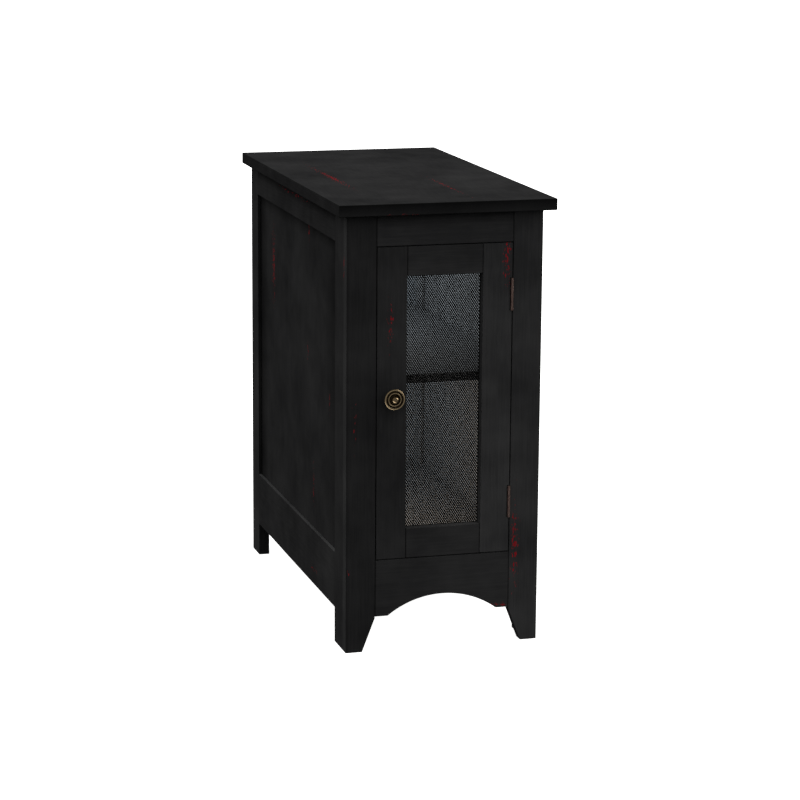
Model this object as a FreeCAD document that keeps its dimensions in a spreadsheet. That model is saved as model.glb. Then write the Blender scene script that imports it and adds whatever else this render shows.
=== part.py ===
import FreeCAD, Part
import os
import re

import Sketcher

# Narrow storage side table: a framed cabinet on four feet, an overhanging top and a mesh door.
# Millimetres, +Z up, the front faces -Y. The origin is on the floor, midway across the width,
# and midway between the face of the knob and the back.

SIZES = {
    "top_width": 305,
    "top_depth": 581,
    "height": 623,
    "top_thickness": 16,
    "top_edge_radius": 1.2,
    "side_overhang": 14.5,
    "front_overhang": 16,
    "board_thickness": 16,
    "leg_width": 41.5,
    "front_post_width": 44,
    "rear_post_width": 42,
    "top_rail_height": 43,
    "lower_rail_height": 79.5,
    "foot_height": 49.5,
    "toe_width": 23.5,
    "taper_height": 47,
    "arch_flat": 18.5,
    "arch_rise": 26.3,
    "panel_thickness": 6,
    "panel_tongue": 6,
    "panel_clearance": 0.3,
    "floor_thickness": 12,
    "cleat_width": 16,
    "cleat_screw_inset": 90,
    "top_screw_inset": 45,
    "shelf_height": 379,
    "shelf_thickness": 12,
    "shelf_setback": 36,
    "shelf_clearance": 0.8,
    "pin_inset": 10,
    "pin_radius": 2.5,
    "pin_reach": 9,
    "dowel_radius": 3,
    "dowel_length": 24,
    "dowel_inset": 5,
    "fit_clearance": 0.05,
    "cut_overshoot": 1,
    "door_gap": 1.5,
    "stile_width": 41.5,
    "door_top_rail_height": 40,
    "door_bottom_rail_height": 41.5,
    "rabbet_width": 6,
    "rabbet_depth": 4,
    "mesh_thickness": 0.8,
    "mesh_pitch": 12,
    "mesh_hole_radius": 4.4,
    "hinge_length": 44.5,
    "hinge_inset": 48.5,
    "hinge_proud": 1,
    "leaf_width": 13,
    "leaf_thickness": 1,
    "leaf_screw_setback": 8.5,
    "leaf_screw_inset": 7.4,
    "barrel_radius": 1.9,
    "barrel_offset": 1.8,
    "barrel_clearance": 1,
    "hinge_pin_radius": 0.9,
    "knuckle_gap": 0.3,
    "knob_height": 357,
    "knob_radius": 14.3,
    "knob_projection": 22,
    "knob_rim_bead": 1.6,
    "knob_ring_radius": 8.6,
    "knob_ring_bead": 1,
    "knob_dome": 5.6,
    "knob_neck": 5.5,
    "knob_foot_radius": 8,
    "knob_foot_height": 1.6,
    "knob_flare_height": 6.6,
    "knob_screw_shank": 2,
    "knob_screw_head": 4,
    "knob_screw_bite": 9.5,
    "catch_height": 430,
    "catch_length": 46,
    "catch_reach": 11,
    "catch_depth": 13,
    "catch_screw_spacing": 36,
    "magnet_length": 30,
    "magnet_depth": 6.5,
    "strike_thickness": 1.2,
    "screw_head": 3.4,
    "screw_shank": 1.7,
    "screw_bite": 11,
    "small_screw_head": 2.2,
    "small_screw_shank": 1.1,
}

doc = FreeCAD.newDocument("SideTable")
sheet = doc.addObject("Spreadsheet::Sheet", "Sizes")
for row, (alias, value) in enumerate(SIZES.items(), start=1):
    sheet.set(f"A{row}", alias)
    sheet.set(f"B{row}", str(value))
    sheet.setAlias(f"B{row}", alias)
doc.recompute()

# Planes of the table, as formulas of the sizes. X values are for the right side.

OUTER = "(top_width / 2 - side_overhang)"
INNER = f"({OUTER} - board_thickness)"
SIDE_MIDDLE = f"({OUTER} - board_thickness / 2)"
LEG_EDGE = f"({OUTER} - leg_width)"
DOOR_EDGE = f"({LEG_EDGE} - door_gap)"
STILE_EDGE = f"({DOOR_EDGE} - stile_width)"
RABBET_EDGE = f"({STILE_EDGE} + rabbet_width)"
CLEAT_FACE = f"({INNER} - cleat_width)"

FRONT = "((knob_projection - top_depth + front_overhang) / 2)"
REAR = f"({FRONT} + top_depth - front_overhang)"
FRAME_BACK = f"({FRONT} + board_thickness)"
FRAME_MIDDLE = f"({FRONT} + board_thickness / 2)"
POST_BACK = f"({FRAME_BACK} + front_post_width)"
REAR_POST = f"({REAR} - rear_post_width)"
BACK_FRONT = f"({REAR} - board_thickness)"
BACK_MIDDLE = f"({REAR} - board_thickness / 2)"
RABBET_FRONT = f"({FRAME_BACK} - rabbet_depth)"
MESH_BACK = f"({RABBET_FRONT} + mesh_thickness)"
SHELF_FRONT = f"({FRONT} + shelf_setback)"
SHELF_REAR = f"({BACK_FRONT} - shelf_clearance)"

CASE_TOP = "(height - top_thickness)"
TOP_RAIL_LOW = f"({CASE_TOP} - top_rail_height)"
LOWER_RAIL_TOP = "(foot_height + lower_rail_height)"
FLOOR_LOW = f"({LOWER_RAIL_TOP} - floor_thickness)"
SHELF_LOW = "(shelf_height - shelf_thickness)"
DOOR_LOW = f"({LOWER_RAIL_TOP} + door_gap)"
DOOR_TOP = f"({TOP_RAIL_LOW} - door_gap)"
MESH_LOW = f"({DOOR_LOW} + door_bottom_rail_height)"
MESH_TOP = f"({DOOR_TOP} - door_top_rail_height)"
RABBET_LOW = f"({MESH_LOW} - rabbet_width)"
RABBET_TOP = f"({MESH_TOP} + rabbet_width)"

HINGE_X = f"({LEG_EDGE} - barrel_offset)"
HINGE_Y = f"({FRONT} - hinge_proud)"
DOOR_LEAF = f"({HINGE_X} - barrel_offset)"
KNOB_X = f"(-({DOOR_EDGE} + {STILE_EDGE}) / 2)"

SIDES = {"left": -1, "right": 1}
TURNS = {
    "+x": FreeCAD.Rotation(FreeCAD.Vector(0, 1, 0), 90),
    "-x": FreeCAD.Rotation(FreeCAD.Vector(0, 1, 0), -90),
    "+y": FreeCAD.Rotation(FreeCAD.Vector(1, 0, 0), -90),
    "-y": FreeCAD.Rotation(FreeCAD.Vector(1, 0, 0), 90),
    "+z": FreeCAD.Rotation(),
}

blanks = {}
tools = {}
groups = {}


# Helpers that tie shapes to the sheet.

def cells(formula):
    """The formula with every size name pointed at its cell."""
    def cell(match):
        word = match.group()
        return f"Sizes.{word}" if word in SIZES else word
    return re.sub(r"[a-z_]+", cell, formula)


def bind(thing, formulas):
    """Tie properties of a document object to the sheet."""
    for name, formula in formulas.items():
        thing.setExpression(name, cells(formula))


def place(thing, x, y, z):
    """Tie the position of a document object to the sheet."""
    bind(thing, {"Placement.Base.x": x, "Placement.Base.y": y, "Placement.Base.z": z})


def between(side, inner, outer):
    """The low and high X of something that lies between two distances from the middle."""
    if SIDES[side] > 0:
        return inner, outer
    return f"-{outer}", f"-{inner}"


def at_side(side, distance):
    """X at a distance from the middle, to the left or right."""
    return distance if SIDES[side] > 0 else f"-{distance}"


def block(label, x, y, z):
    """A box between low and high planes in X, Y and Z."""
    box = doc.addObject("Part::Box", "Block")
    box.Label = label
    bind(box, {
        "Length": f"{x[1]} - ({x[0]})",
        "Width": f"{y[1]} - ({y[0]})",
        "Height": f"{z[1]} - ({z[0]})",
    })
    place(box, x[0], y[0], z[0])
    return box


def rod(label, way, start, length, radius):
    """A cylinder from a start point, along one of the axes."""
    cylinder = doc.addObject("Part::Cylinder", "Rod")
    cylinder.Label = label
    cylinder.Placement.Rotation = TURNS[way]
    bind(cylinder, {"Radius": radius, "Height": length})
    place(cylinder, *start)
    return cylinder


def taper(label, way, start, length, start_radius, end_radius):
    """A cone frustum from a start point, along one of the axes."""
    cone = doc.addObject("Part::Cone", "Taper")
    cone.Label = label
    cone.Placement.Rotation = TURNS[way]
    bind(cone, {"Radius1": start_radius, "Radius2": end_radius, "Height": length})
    place(cone, *start)
    return cone


def fuse(label, solids):
    """Several solids joined into one."""
    joined = doc.addObject("Part::MultiFuse", "Joined")
    joined.Label = label
    joined.Shapes = solids
    return joined


def cut(label, base, cutters):
    """A solid with one or more cutters taken out of it."""
    result = doc.addObject("Part::Cut", "Cut")
    result.Label = label
    result.Base = base
    result.Tool = cutters[0] if len(cutters) == 1 else fuse(f"{label}_cutters", cutters)
    return result


def board(name, x, y, z):
    """A board that becomes a piece of the table once its joints are cut."""
    blanks[name] = block(f"{name}_blank", x, y, z)


def carve(cutter, *names):
    """Note that a cutter is taken out of the named pieces."""
    for name in names:
        tools.setdefault(name, []).append(cutter)


def own_plane(body, role):
    """One of the origin planes of a body."""
    return next(plane for plane in body.Origin.OriginFeatures if plane.Role == role)


def new_sketch(body, role):
    """An empty sketch on an origin plane of a body."""
    sketch = body.newObject("Sketcher::SketchObject", "Outline")
    sketch.AttachmentSupport = [(own_plane(body, role), "")]
    sketch.MapMode = "FlatFace"
    return sketch


def closed_outline(sketch, corners):
    """Lines from corner to corner and back to the first, which stays on the origin."""
    points = [FreeCAD.Vector(x, y, 0) for x, y in corners]
    for index, point in enumerate(points):
        sketch.addGeometry(Part.LineSegment(point, points[(index + 1) % len(points)]), False)
    for index in range(len(points)):
        following = (index + 1) % len(points)
        sketch.addConstraint(Sketcher.Constraint("Coincident", index, 2, following, 1))
    sketch.addConstraint(Sketcher.Constraint("Coincident", 0, 1, -1, 1))


def measure(sketch, kind, line, end, name, formula):
    """A distance from the sketch origin to one end of a line, tied to the sheet."""
    point = sketch.getPoint(line, end)
    drawn = point.x if kind == "DistanceX" else point.y
    index = sketch.addConstraint(Sketcher.Constraint(kind, -1, 1, line, end, drawn))
    sketch.renameConstraint(index, name)
    sketch.setExpression(f"Constraints.{name}", cells(formula))


def pad(body, sketch, length, backwards):
    """Extrude a sketch, against the normal of its plane if asked."""
    solid = body.newObject("PartDesign::Pad", "Pad")
    solid.Profile = sketch
    solid.Reversed = backwards
    bind(solid, {"Length": length})
    sketch.Visibility = False
    return solid


def dowel(group, way, joint, *names):
    """A dowel centred on a joint, and the bores for it in the pieces that meet there."""
    axis = "xyz".index(way[1])
    start = list(joint)
    start[axis] = f"{joint[axis]} - dowel_length / 2"
    count = len(groups.setdefault(group, []))
    groups[group].append(rod(f"{group}_{count}", way, start, "dowel_length", "dowel_radius"))
    start[axis] = f"{joint[axis]} - dowel_length / 2 - fit_clearance"
    bore = rod(f"{group}_bore_{count}", way, start,
               "dowel_length + 2 * fit_clearance", "dowel_radius + fit_clearance")
    carve(bore, *names)


def screw(group, way, head, length, sizes, *names):
    """A countersunk screw from its head along an axis, and the holes for it."""
    head_radius, shank_radius = sizes
    sink = f"({head_radius} - {shank_radius})"
    count = len(groups.setdefault(group, []))
    label = f"{group}_{count}"
    groups[group].append(fuse(label, [
        taper(f"{label}_head", way, head, sink, head_radius, shank_radius),
        rod(f"{label}_shank", way, head, length, shank_radius),
    ]))
    loose = "+ fit_clearance"
    hole = fuse(f"{label}_hole", [
        taper(f"{label}_sink", way, head, sink, f"{head_radius} {loose}", f"{shank_radius} {loose}"),
        rod(f"{label}_bore", way, head, f"{length} {loose}", f"{shank_radius} {loose}"),
    ])
    carve(hole, *names)


def rail_dowel_heights(low, high):
    """Two heights in a rail, clear of a panel groove in either edge."""
    return f"{low} + panel_tongue + dowel_inset", f"{high} - panel_tongue - dowel_inset"


WOOD_SCREW = ("screw_head", "screw_shank")
SMALL_SCREW = ("small_screw_head", "small_screw_shank")


# Top

def make_top():
    """The overhanging slab, with every edge eased."""
    body = doc.addObject("PartDesign::Body", "TopBlank")
    body.Label = "top_board_blank"
    sketch = new_sketch(body, "XY_Plane")
    closed_outline(sketch, [(0, 0), (300, 0), (300, 580), (0, 580)])
    for line, kind in enumerate(["Horizontal", "Vertical", "Horizontal", "Vertical"]):
        sketch.addConstraint(Sketcher.Constraint(kind, line))
    measure(sketch, "DistanceX", 1, 1, "across", "top_width")
    measure(sketch, "DistanceY", 2, 1, "along", "top_depth")
    slab = pad(body, sketch, "top_thickness", False)
    doc.recompute()
    eased = body.newObject("PartDesign::Fillet", "Eased")
    eased.Base = (slab, ["Edge1"])
    eased.UseAllEdges = True
    bind(eased, {"Radius": "top_edge_radius"})
    place(body, "-top_width / 2", f"{REAR} - top_depth", CASE_TOP)
    blanks["top_board"] = body


# Front frame

def make_front_leg(side):
    """A face board down to the floor, narrowing to a toe at its inner edge."""
    body = doc.addObject("PartDesign::Body", "LegBlank")
    body.Label = f"front_leg_{side}_blank"
    sketch = new_sketch(body, "XZ_Plane")
    closed_outline(sketch, [(0, 0), (20, 0), (40, 50), (40, 600), (0, 600)])
    for line, kind in [(0, "Horizontal"), (2, "Vertical"), (3, "Horizontal"), (4, "Vertical")]:
        sketch.addConstraint(Sketcher.Constraint(kind, line))
    measure(sketch, "DistanceX", 1, 1, "toe", "toe_width")
    measure(sketch, "DistanceX", 2, 1, "face", "leg_width")
    measure(sketch, "DistanceY", 2, 1, "narrowing", "taper_height")
    measure(sketch, "DistanceY", 3, 1, "upright", CASE_TOP)
    pad(body, sketch, "board_thickness", True)
    if side == "right":
        body.Placement.Rotation = FreeCAD.Rotation(FreeCAD.Vector(0, 0, 1), 180)
    place(body, at_side(side, OUTER), FRONT if side == "left" else FRAME_BACK, "0")
    blanks[f"front_leg_{side}"] = body


def make_apron():
    """The lower front rail, with an arch between two short flats."""
    span = f"(2 * {LEG_EDGE})"
    half_arch = f"({LEG_EDGE} - arch_flat)"
    body = doc.addObject("PartDesign::Body", "ApronBlank")
    body.Label = "front_apron_blank"
    sketch = new_sketch(body, "XZ_Plane")
    corners = [(0, 0), (0, 80), (193, 80), (193, 0), (174.5, 0), (18.5, 0)]
    points = [FreeCAD.Vector(x, y, 0) for x, y in corners]
    for first, second in [(0, 1), (1, 2), (2, 3), (3, 4), (5, 0)]:
        sketch.addGeometry(Part.LineSegment(points[first], points[second]), False)
    crown = FreeCAD.Vector(96.5, 26, 0)
    sketch.addGeometry(Part.Arc(points[5], crown, points[4]), False)
    joins = [(0, 2, 1, 1), (1, 2, 2, 1), (2, 2, 3, 1), (4, 2, 0, 1), (0, 1, -1, 1),
             (5, 2, 4, 1), (5, 1, 3, 2)]
    for join in joins:
        sketch.addConstraint(Sketcher.Constraint("Coincident", *join))
    for line, kind in enumerate(["Vertical", "Horizontal", "Vertical", "Horizontal", "Horizontal"]):
        sketch.addConstraint(Sketcher.Constraint(kind, line))
    sketch.addConstraint(Sketcher.Constraint("PointOnObject", 2, 2, -1))
    measure(sketch, "DistanceY", 1, 1, "rise", "lower_rail_height")
    measure(sketch, "DistanceX", 2, 1, "across", span)
    measure(sketch, "DistanceX", 4, 1, "near_flat", "arch_flat")
    measure(sketch, "DistanceX", 3, 2, "far_flat", f"{span} - arch_flat")
    bend = sketch.addConstraint(Sketcher.Constraint("Radius", 5, sketch.Geometry[5].Radius))
    sketch.renameConstraint(bend, "bend")
    bind(sketch, {"Constraints.bend": f"({half_arch} ^ 2 + arch_rise ^ 2) / (2 * arch_rise)"})
    pad(body, sketch, "board_thickness", True)
    place(body, f"-{LEG_EDGE}", FRONT, "foot_height")
    blanks["front_apron"] = body


def make_front_frame():
    """Two legs with a rail and an apron dowelled between them."""
    for side in SIDES:
        make_front_leg(side)
    board("front_top_rail", (f"-{LEG_EDGE}", LEG_EDGE), (FRONT, FRAME_BACK), (TOP_RAIL_LOW, CASE_TOP))
    make_apron()
    heights = {
        "front_top_rail": (TOP_RAIL_LOW, CASE_TOP),
        "front_apron": ("foot_height", LOWER_RAIL_TOP),
    }
    for side in SIDES:
        for rail, (low, high) in heights.items():
            for z in rail_dowel_heights(low, high):
                dowel("frame_dowels", "+x", (at_side(side, LEG_EDGE), FRAME_MIDDLE, z),
                      rail, f"front_leg_{side}")


# Sides

def make_side(side):
    """A frame of two posts and two rails round a recessed panel."""
    thick = between(side, INNER, OUTER)
    middle = at_side(side, SIDE_MIDDLE)
    rails = {
        f"{side}_top_rail": (TOP_RAIL_LOW, CASE_TOP),
        f"{side}_bottom_rail": ("foot_height", LOWER_RAIL_TOP),
    }
    posts = {
        f"{side}_front_post": (FRAME_BACK, POST_BACK),
        f"{side}_rear_post": (REAR_POST, REAR),
    }
    for name, depth in posts.items():
        board(name, thick, depth, ("0", CASE_TOP))
    for name, heights in rails.items():
        board(name, thick, (POST_BACK, REAR_POST), heights)
    for name, (low, high) in rails.items():
        for z in rail_dowel_heights(low, high):
            dowel("frame_dowels", "+y", (middle, POST_BACK, z), name, f"{side}_front_post")
            dowel("frame_dowels", "+y", (middle, REAR_POST, z), name, f"{side}_rear_post")
    for z in (LOWER_RAIL_TOP, f"({LOWER_RAIL_TOP} + {TOP_RAIL_LOW}) / 2", TOP_RAIL_LOW):
        dowel("frame_dowels", "+y", (middle, FRAME_BACK, z), f"front_leg_{side}", f"{side}_front_post")
    half = "(panel_thickness / 2)"
    board(f"{side}_side_panel", (f"{middle} - {half}", f"{middle} + {half}"),
          (f"{POST_BACK} - panel_tongue", f"{REAR_POST} + panel_tongue"),
          (f"{LOWER_RAIL_TOP} - panel_tongue", f"{TOP_RAIL_LOW} + panel_tongue"))
    loose = "panel_clearance"
    deep = f"(panel_tongue + {loose})"
    groove = block(f"{side}_panel_groove", (f"{middle} - {half} - {loose}", f"{middle} + {half} + {loose}"),
                   (f"{POST_BACK} - {deep}", f"{REAR_POST} + {deep}"),
                   (f"{LOWER_RAIL_TOP} - {deep}", f"{TOP_RAIL_LOW} + {deep}"))
    carve(groove, *posts, *rails)


# Back

def make_back():
    """Two rails between the rear posts, and a panel held in grooves."""
    across = (f"-{INNER}", INNER)
    rails = {
        "back_top_rail": (TOP_RAIL_LOW, CASE_TOP),
        "back_bottom_rail": ("foot_height", LOWER_RAIL_TOP),
    }
    for name, (low, high) in rails.items():
        board(name, across, (BACK_FRONT, REAR), (low, high))
        for side in SIDES:
            for z in rail_dowel_heights(low, high):
                dowel("frame_dowels", "+x", (at_side(side, INNER), BACK_MIDDLE, z),
                      name, f"{side}_rear_post")
    half = "(panel_thickness / 2)"
    board("back_panel", (f"-{INNER} - panel_tongue", f"{INNER} + panel_tongue"),
          (f"{BACK_MIDDLE} - {half}", f"{BACK_MIDDLE} + {half}"),
          (f"{LOWER_RAIL_TOP} - panel_tongue", f"{TOP_RAIL_LOW} + panel_tongue"))
    loose = "panel_clearance"
    deep = f"(panel_tongue + {loose})"
    groove = block("back_panel_groove", (f"-{INNER} - {deep}", f"{INNER} + {deep}"),
                   (f"{BACK_MIDDLE} - {half} - {loose}", f"{BACK_MIDDLE} + {half} + {loose}"),
                   (f"{LOWER_RAIL_TOP} - {deep}", f"{TOP_RAIL_LOW} + {deep}"))
    carve(groove, *rails, "left_rear_post", "right_rear_post")


# Inside

def make_cleats(side):
    """Battens under the top and under the floor, screwed to the side."""
    thick = between(side, CLEAT_FACE, INNER)
    outward = "+x" if side == "right" else "-x"
    along = (POST_BACK, REAR_POST)
    board(f"top_cleat_{side}", thick, along, (f"{CASE_TOP} - cleat_width", CASE_TOP))
    board(f"floor_cleat_{side}", thick, along, (f"{FLOOR_LOW} - cleat_width", FLOOR_LOW))
    length = "(cleat_width + screw_bite)"
    face = at_side(side, CLEAT_FACE)
    for y in (f"{POST_BACK} + cleat_screw_inset", f"{REAR_POST} - cleat_screw_inset"):
        screw("cleat_screws", outward, (face, y, f"{CASE_TOP} - cleat_width / 2"), length, WOOD_SCREW,
              f"top_cleat_{side}", f"{side}_top_rail")
        screw("cleat_screws", outward, (face, y, f"{FLOOR_LOW} - cleat_width / 2"), length, WOOD_SCREW,
              f"floor_cleat_{side}", f"{side}_bottom_rail")
    middle = f"({POST_BACK} + {REAR_POST}) / 2"
    for y in (f"{POST_BACK} + top_screw_inset", middle, f"{REAR_POST} - top_screw_inset"):
        head = (at_side(side, f"({INNER} - cleat_width / 2)"), y, f"{CASE_TOP} - cleat_width")
        screw("cleat_screws", "+z", head, length, WOOD_SCREW, f"top_cleat_{side}", "top_board")


def make_inside():
    """The floor, the shelf on its pins, and the battens."""
    room = f"({INNER} - shelf_clearance)"
    board("floor_board", (f"-{room}", room), (FRAME_BACK, BACK_FRONT), (FLOOR_LOW, LOWER_RAIL_TOP))
    board("shelf", (f"-{room}", room), (SHELF_FRONT, SHELF_REAR), (SHELF_LOW, "shelf_height"))
    for side in SIDES:
        make_cleats(side)
        outward = "+x" if side == "right" else "-x"
        start = at_side(side, f"({INNER} - pin_reach)")
        for post, y in (("front", f"{SHELF_FRONT} + pin_inset"), ("rear", f"{SHELF_REAR} - pin_inset")):
            centre = (start, y, f"{SHELF_LOW} - pin_radius - fit_clearance")
            groups.setdefault("shelf_pins", []).append(
                rod(f"shelf_pin_{side}_{post}", outward, centre, "2 * pin_reach", "pin_radius"))
            bore = rod(f"shelf_pin_bore_{side}_{post}", outward, centre,
                       "2 * pin_reach + fit_clearance", "pin_radius + fit_clearance")
            carve(bore, f"{side}_{post}_post")


# Hinges

def knuckle(label, start, length, radius):
    """A cylinder on the hinge axis."""
    return rod(label, "+z", (HINGE_X, HINGE_Y, start), length, radius)


def make_hinge(level, low):
    """A butt hinge: two leaves, three knuckles and a pin, with its seats and screws."""
    third = "(hinge_length / 3)"
    high = f"({low} + hinge_length)"
    depth = (HINGE_Y, f"{HINGE_Y} + leaf_width")
    turn = "(barrel_radius + knuckle_gap)"
    past_end = f"({third} + knuckle_gap + cut_overshoot)"
    frame_leaf, door_leaf = f"hinge_frame_leaf_{level}", f"hinge_door_leaf_{level}"
    blanks[frame_leaf] = fuse(f"{frame_leaf}_blank", [
        block(f"frame_plate_{level}", (f"{LEG_EDGE} - leaf_thickness", LEG_EDGE), depth, (low, high)),
        knuckle(f"frame_knuckle_low_{level}", low, third, "barrel_radius"),
        knuckle(f"frame_knuckle_high_{level}", f"{high} - {third}", third, "barrel_radius"),
    ])
    middle_room = knuckle(f"frame_leaf_room_{level}", f"{low} + {third}", third, turn)
    carve(middle_room, frame_leaf)
    blanks[door_leaf] = fuse(f"{door_leaf}_blank", [
        block(f"door_plate_{level}", (DOOR_LEAF, f"{DOOR_LEAF} + leaf_thickness"), depth, (low, high)),
        knuckle(f"door_knuckle_{level}", f"{low} + {third} + knuckle_gap", f"{third} - 2 * knuckle_gap",
                "barrel_radius"),
    ])
    for end, start in (("low", f"{low} - cut_overshoot"), ("high", f"{high} - {third} - knuckle_gap")):
        carve(knuckle(f"door_leaf_room_{end}_{level}", start, past_end, turn), door_leaf)
    bore = knuckle(f"hinge_bore_{level}", f"{low} - cut_overshoot", "hinge_length + 2 * cut_overshoot",
                   "hinge_pin_radius + fit_clearance")
    carve(bore, frame_leaf, door_leaf)
    pin = f"hinge_pin_{level}"
    blanks[pin] = knuckle(f"{pin}_blank", low, "hinge_length", "hinge_pin_radius")
    make_hinge_seat(level, low, high)
    screw_y = f"{HINGE_Y} + leaf_screw_setback"
    for z in (f"{low} + leaf_screw_inset", f"{high} - leaf_screw_inset"):
        screw("frame_leaf_screws", "+x", (f"{LEG_EDGE} - leaf_thickness", screw_y, z), "screw_bite",
              SMALL_SCREW, frame_leaf, "front_leg_right")
        screw("door_leaf_screws", "-x", (f"{DOOR_LEAF} + leaf_thickness", screw_y, z), "screw_bite",
              SMALL_SCREW, door_leaf, "door_hinge_stile")


def make_hinge_seat(level, low, high):
    """The mortise for the door leaf, and the notch that leaves room round the barrel."""
    mouth = f"{FRONT} - cut_overshoot"
    mortise = block(f"leaf_mortise_{level}", (DOOR_LEAF, LEG_EDGE), (mouth, f"{HINGE_Y} + leaf_width"),
                    (low, high))
    notch = block(f"barrel_notch_{level}", (f"{HINGE_X} - barrel_radius - barrel_clearance", LEG_EDGE),
                  (mouth, f"{HINGE_Y} + barrel_radius + knuckle_gap"),
                  (f"{low} - knuckle_gap", f"{high} + knuckle_gap"))
    carve(mortise, "door_hinge_stile")
    carve(notch, "door_hinge_stile")


# Door

def make_door_frame():
    """Two stiles and two rails, rabbeted behind for the mesh."""
    thick = (FRONT, FRAME_BACK)
    board("door_latch_stile", (f"-{DOOR_EDGE}", f"-{STILE_EDGE}"), thick, (DOOR_LOW, DOOR_TOP))
    board("door_hinge_stile", (STILE_EDGE, DOOR_EDGE), thick, (DOOR_LOW, DOOR_TOP))
    solid_middle = f"({FRONT} + {RABBET_FRONT}) / 2"
    rails = {"door_top_rail": (MESH_TOP, DOOR_TOP), "door_bottom_rail": (DOOR_LOW, MESH_LOW)}
    stiles = {"left": "door_latch_stile", "right": "door_hinge_stile"}
    for name, (low, high) in rails.items():
        board(name, (f"-{STILE_EDGE}", STILE_EDGE), thick, (low, high))
        for side, stile in stiles.items():
            for z in rail_dowel_heights(low, high):
                dowel("door_dowels", "+x", (at_side(side, STILE_EDGE), solid_middle, z), name, stile)
    rabbet = block("mesh_rabbet", (f"-{RABBET_EDGE}", RABBET_EDGE),
                   (RABBET_FRONT, f"{FRAME_BACK} + cut_overshoot"), (RABBET_LOW, RABBET_TOP))
    carve(rabbet, *rails, *stiles.values())


def make_beads():
    """Four strips behind the mesh, which fill the rabbet."""
    thick = (MESH_BACK, FRAME_BACK)
    upright = (RABBET_LOW, RABBET_TOP)
    board("mesh_bead_left", (f"-{RABBET_EDGE}", f"-{STILE_EDGE}"), thick, upright)
    board("mesh_bead_right", (STILE_EDGE, RABBET_EDGE), thick, upright)
    board("mesh_bead_top", (f"-{STILE_EDGE}", STILE_EDGE), thick, (MESH_TOP, RABBET_TOP))
    board("mesh_bead_bottom", (f"-{STILE_EDGE}", STILE_EDGE), thick, (RABBET_LOW, MESH_LOW))


def hexagon(x, z, radius):
    """A closed six-sided wire in the sheet of the mesh."""
    corner = FreeCAD.Vector(0, 0, radius)
    sides = 6
    turn = FreeCAD.Rotation(FreeCAD.Vector(0, 1, 0), 360 / sides)
    points = [FreeCAD.Vector(x, 0, z) + corner]
    for _ in range(sides):
        corner = turn.multVec(corner)
        points.append(FreeCAD.Vector(x, 0, z) + corner)
    return Part.makePolygon(points)


def make_mesh():
    """The perforated sheet: staggered rows of holes, clear of the edge that the rabbet hides."""
    loose = "fit_clearance"
    sheet_blank = block("door_mesh_blank", (f"-{RABBET_EDGE} + {loose}", f"{RABBET_EDGE} - {loose}"),
                        (RABBET_FRONT, MESH_BACK), (f"{RABBET_LOW} + {loose}", f"{RABBET_TOP} - {loose}"))
    doc.recompute()
    wide, high = sheet_blank.Length.Value, sheet_blank.Height.Value
    pitch, radius = float(sheet.get("mesh_pitch")), float(sheet.get("mesh_hole_radius"))
    border = float(sheet.get("rabbet_width")) + radius
    row_pitch = pitch * 3 ** 0.5 / 2
    rows = int((high - 2 * border) / row_pitch) + 1
    holes = []
    for row in range(rows):
        z = high / 2 + (row - (rows - 1) / 2) * row_pitch
        count = int((wide - 2 * border) / pitch) + 1
        count -= (count + row) % 2
        for column in range(count):
            x = wide / 2 + (column - (count - 1) / 2) * pitch
            holes.append(Part.Face(hexagon(x, z, radius)))
    plate = Part.Face(Part.makePolygon([
        FreeCAD.Vector(x, 0, z) for x, z in ((0, 0), (wide, 0), (wide, high), (0, high), (0, 0))
    ]))
    perforated = plate.cut(Part.makeCompound(holes)).Faces[0]
    mesh = doc.addObject("Part::Feature", "Mesh")
    mesh.Label = "door_mesh"
    mesh.Shape = perforated.extrude(FreeCAD.Vector(0, sheet_blank.Width.Value, 0))
    mesh.Placement.Base = sheet_blank.Placement.Base
    blanks["door_mesh"] = mesh


# Knob

def before_door(distance):
    """A point on the axis of the knob, in front of the door."""
    return KNOB_X, f"{FRONT} - {distance}", "knob_height"


def knob_ring(label, distance, radius, bead):
    """A bead round the axis of the knob."""
    torus = doc.addObject("Part::Torus", "Ring")
    torus.Label = label
    torus.Placement.Rotation = TURNS["-y"]
    bind(torus, {"Radius1": radius, "Radius2": bead})
    place(torus, *before_door(distance))
    return torus


def make_knob():
    """A round knob: foot, neck, flared dish with a beaded rim, inner ring and dome, and its screw."""
    rim = "(knob_radius - knob_rim_bead)"
    face = "(knob_projection - knob_dome)"
    dish = f"({face} - knob_rim_bead)"
    dome = doc.addObject("Part::Sphere", "Dome")
    dome.Label = "knob_dome"
    bind(dome, {"Radius": "knob_dome"})
    place(dome, *before_door(face))
    blanks["knob"] = fuse("knob_blank", [
        rod("knob_foot", "-y", before_door("0"), "knob_foot_height", "knob_foot_radius"),
        rod("knob_stem", "-y", before_door("0"), dish, "knob_neck"),
        taper("knob_flare", "-y", before_door(f"({dish} - knob_flare_height)"), "knob_flare_height",
              "knob_neck - knob_rim_bead", rim),
        rod("knob_dish", "-y", before_door(dish), "knob_rim_bead / 2", rim),
        knob_ring("knob_rim", f"({face} - knob_rim_bead / 2)", rim, "knob_rim_bead"),
        knob_ring("knob_ring", f"({face} - knob_rim_bead / 2)", "knob_ring_radius", "knob_ring_bead"),
        dome,
    ])
    length = "(board_thickness + knob_screw_bite)"
    head = (KNOB_X, FRAME_BACK, "knob_height")
    blanks["knob_screw"] = fuse("knob_screw_blank", [
        rod("knob_screw_shank", "-y", head, length, "knob_screw_shank"),
        rod("knob_screw_head", "+y", head, "knob_screw_shank", "knob_screw_head"),
    ])
    bore = rod("knob_screw_bore", "-y", head, f"{length} + fit_clearance",
               "knob_screw_shank + fit_clearance")
    carve(bore, "knob", "door_latch_stile")


# Catch

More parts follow.
